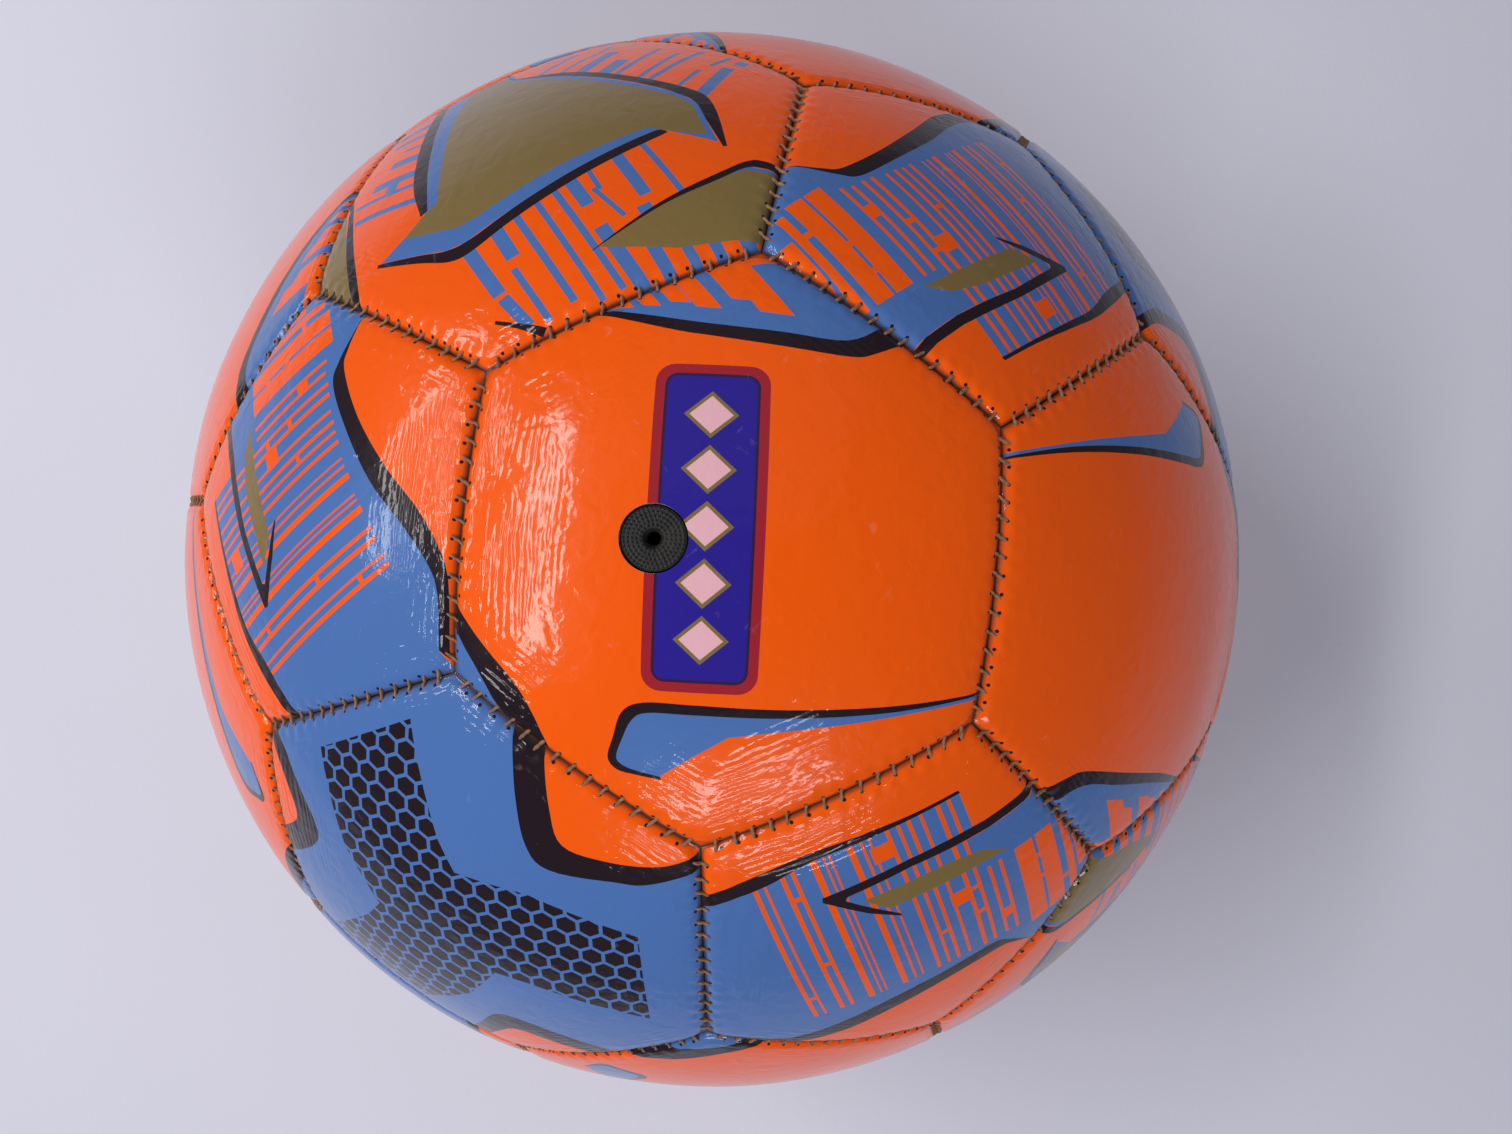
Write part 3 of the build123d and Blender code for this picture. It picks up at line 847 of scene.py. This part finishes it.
def stitch(random, length, slant):
    """One stitch across a seam at the top of the ball, along Y: two plies twisted together, sagging."""
    reach = length * random.uniform(0.88, 1.12)
    sag = random.uniform(0.0, 0.25)
    bend_at, turn_at = 0.45 * reach, 0.9 * reach
    path = [
        (-reach, 1.6), (-turn_at, 0.72), (-bend_at, 0.62), (0, 0.7 + sag), (bend_at, 0.62),
        (turn_at, 0.72), (reach, 1.6),
    ]
    path = bend(path, 2)
    lean = slant + random.uniform(-0.15, 0.15)
    shift = random.uniform(-0.2, 0.2)
    thick = random.uniform(0.21, 0.27)
    around = 2 * np.pi * np.arange(10) / 10
    way = np.gradient(path, axis=0)
    way /= np.linalg.norm(way, axis=1, keepdims=True)
    points = []
    for (y, depth), (wy, wz), k in zip(path, way, range(len(path))):
        radius = thick * (1 + 0.2 * np.cos(2 * (around - 0.75 * k)))
        out = radius * np.sin(around)
        points.append(
            np.column_stack(
                [shift + lean * y + radius * np.cos(around), y + out * wz, BALL_RADIUS - depth + out * wy]
            )
        )
    rows = len(path)
    faces = []
    for row in range(rows - 1):
        for k in range(10):
            a, b = row * 10 + k, row * 10 + (k + 1) % 10
            faces.append((a, b, b + 10, a + 10))
    faces += [tuple(range(10))[::-1], tuple(range((rows - 1) * 10, rows * 10))]
    return np.vstack(points), faces


def stitched_seams(name, seams, material, seed):
    random = np.random.default_rng(seed)
    points, faces, at = [], [], 0
    for a, b in seams:
        middle, way = unit(a + b), unit(b - a)
        across = np.cross(middle, way)
        length, slant = random.uniform(0.8, 1.15), random.uniform(0.15, 0.6)
        for k in range(STITCHES):
            angle = (k - (STITCHES - 1) / 2) * STITCH_PITCH / BALL_RADIUS
            up = np.cos(angle) * middle + np.sin(angle) * way
            ahead = np.cross(across, up)
            own, sides = stitch(random, length, slant)
            points.append(own @ np.vstack([ahead, across, up]))
            faces += [tuple(i + at for i in face) for face in sides]
            at += len(own)
    return add_mesh(name, np.vstack(points), faces, material)


def lathe(profile, parts, bumps):
    """A turned shape about Z from (radius, height) pairs, with bumps on its top face."""
    angles = 2 * np.pi * np.arange(parts) / parts
    points, faces = [], []
    for radius, height in profile:
        lift = bumps(radius, angles) if height > BALL_RADIUS - 1.6 else np.zeros(parts)
        points.append(np.column_stack([radius * np.cos(angles), radius * np.sin(angles), height + lift]))
    for row in range(len(profile) - 1):
        for k in range(parts):
            a, b = row * parts + k, row * parts + (k + 1) % parts
            faces.append((a, b, b + parts, a + parts))
    return np.vstack(points), faces


def valve_plug(material):
    """The knurled domed head with rings of small studs, the needle's dimple and hole, and the stem."""

    def studs(radius, angles):
        if not 1.5 < radius < 4.35:
            return np.zeros_like(angles)
        ring_number = (radius - 1.5) / 0.62
        count = int(round(2 * np.pi * (1.5 + 0.62 * (np.floor(ring_number) + 0.5)) / 0.62))
        across = np.sin(np.pi * (ring_number % 1)) ** 2
        return 0.2 * across * (0.5 + 0.5 * np.cos(count * angles))

    def dome(radius):
        return np.sqrt(BALL_RADIUS**2 - radius * radius) - 0.12

    profile = [
        (0.02, 96.4), (0.9, 96.5), (0.98, 97.5), (1.0, 103.0), (1.0, 109.2), (1.15, 109.42),
        (1.4, dome(1.4) - 0.15),
    ]
    profile += [(r, dome(r)) for r in np.arange(1.5, 4.36, 0.62 / 6)]
    profile += [
        (4.42, dome(4.4)), (4.6, dome(4.6) - 0.2), (4.68, dome(4.6) - 0.6), (4.66, 108.3),
        (2.6, 108.22), (2.5, 108.0), (2.5, 100.0), (2.46, 93.2), (2.2, 92.3), (1.6, 92.02),
        (0.02, 92.0),
    ]
    return add_mesh("valve_plug_looks", *lathe(profile, 240, studs), material)


# ---------------------------------------------------------------- the panels, stitches and valve

covers, thread = printed_pvc(), twisted_thread()
valve_rubber = rubber("valve_rubber", (0.006, 0.006, 0.006), (0.018, 0.017, 0.016), 900.0)
bag_rubber = rubber("bladder_rubber", (0.012, 0.011, 0.010), (0.04, 0.037, 0.034), 500.0)
foam, cloth = closed_foam(), woven_cloth()

centres = {}
for node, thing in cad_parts.items():
    if "_cover_" in node:
        where = np.array([tuple(v.co) for v in thing.data.vertices]).mean(0)
        centres[node] = unit(where)

panels = all_panels()
flats = {}
for name, sides in (("plain", 6), ("mesh", 6), ("star", 6), ("bars", 5)):
    flats[name] = cut_panel(sides, GROUND[name], PRINTS[name](), None)
valve_flat = cut_panel(6, ORANGE, PRINTS["plain"]() + label_print(), valve_hole(valve_panel, VALVE_HOLE))

for number, (name, sides, panel) in enumerate(panels):
    kind = "hex_cover" if sides == 6 else "pent_cover"
    node = max((n for n in centres if n.startswith(kind)), key=lambda n: centres[n] @ panel[:, 2])
    flat = valve_flat if number == 0 else flats[name]
    made = panel_object(f"{node}_looks", sides, panel, flat, number, covers)
    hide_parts(node)
    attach(made, "ball")

seams = []
for name, sides, panel in panels:
    outline = np.column_stack([corners(sides), np.full(sides, plane_of(sides))]) @ panel.T
    outline /= np.linalg.norm(outline, axis=1, keepdims=True)
    for a, b in zip(outline, np.roll(outline, -1, 0)):
        twin = next((seam for seam in seams if np.linalg.norm(seam[1] + seam[2] - a - b) < 0.01), None)
        if twin:
            twin[0] = min(twin[0], sides)
        else:
            seams.append([sides, a, b])
for name, fewest, seed in (("hex", 6, 11), ("pent", 5, 23)):
    chosen = [(a, b) for sides, a, b in seams if sides == fewest]
    made = stitched_seams(f"stitches_{name}_seams", chosen, thread, seed)
    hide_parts(f"threads_{name}_seams")
    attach(made, "ball")

plug = valve_plug(valve_rubber)
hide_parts("valve_plug")
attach(plug, "valve")

for node, material in (
    ("hex_foam_layers", foam),
    ("pent_foam_layers", foam),
    ("hex_linings", cloth),
    ("pent_linings", cloth),
    ("bladder", bag_rubber),
    ("valve_patch", bag_rubber),
    ("valve_housing", valve_rubber),
):
    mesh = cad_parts[node].data
    mesh.materials.clear()
    mesh.materials.append(material)

# The floor lies just under the ball.
floor_points = [(3000 * x, 3000 * y, -110.4) for x, y in ((-1, -1), (1, -1), (1, 1), (-1, 1))]
add_mesh("floor", floor_points, [(0, 1, 2, 3)], pale_floor())


def softbox(name, direction, distance, size, power, colour=(1, 1, 1)):
    """A rectangular soft light that faces the ball."""
    lamp = bpy.data.lights.new(name, "AREA")
    lamp.shape, lamp.size, lamp.size_y = "RECTANGLE", size[0], size[1]
    lamp.energy, lamp.color = power, colour
    made = bpy.data.objects.new(name, lamp)
    where = Vector(direction).normalized() * distance
    made.location = where
    made.rotation_euler = where.to_track_quat("Z", "Y").to_euler()
    bpy.context.scene.collection.objects.link(made)


# A tall window and a dimmer one on the left, a strip low in front, and a broad soft light overhead.
softbox("window", (-0.48, 0.0, 0.87), 1.2, (0.95, 0.12), 7.2, (1.0, 0.98, 0.96))
softbox("side window", (-0.80, 0.20, 0.55), 1.2, (0.8, 0.12), 4.2, (1.0, 0.98, 0.96))
softbox("fill", (0.2, -0.7, 0.69), 1.3, (0.75, 0.16), 6, (0.95, 0.97, 1.0))
softbox("overhead", (0.1, 0.5, 0.9), 1.6, (1.2, 1.2), 0.7)

bpy.context.scene.view_settings.view_transform = "Standard"

world = bpy.data.worlds.new("studio")
world.use_nodes = True
world.node_tree.nodes["Background"].inputs["Color"].default_value = (0.80, 0.82, 0.90, 1.0)
world.node_tree.nodes["Background"].inputs["Strength"].default_value = 0.21
bpy.context.scene.world = world

# The camera looks down at the valve, its up direction a few degrees off the ball's Y.
lens = bpy.data.cameras.new("camera")
lens.sensor_width, lens.lens = 36.0, 29.52
lens.clip_start, lens.clip_end = 0.01, 20.0
camera = bpy.data.objects.new("camera", lens)
right, up = Vector((0.99343, 0.10153, -0.05278)), Vector((-0.10044, 0.99468, 0.02294))
camera.matrix_world = Matrix.Translation((0.0239, -0.0055, 0.28004)) @ Matrix(
    (right, up, right.cross(up))
).transposed().to_4x4()
bpy.context.scene.collection.objects.link(camera)
bpy.context.scene.camera = camera
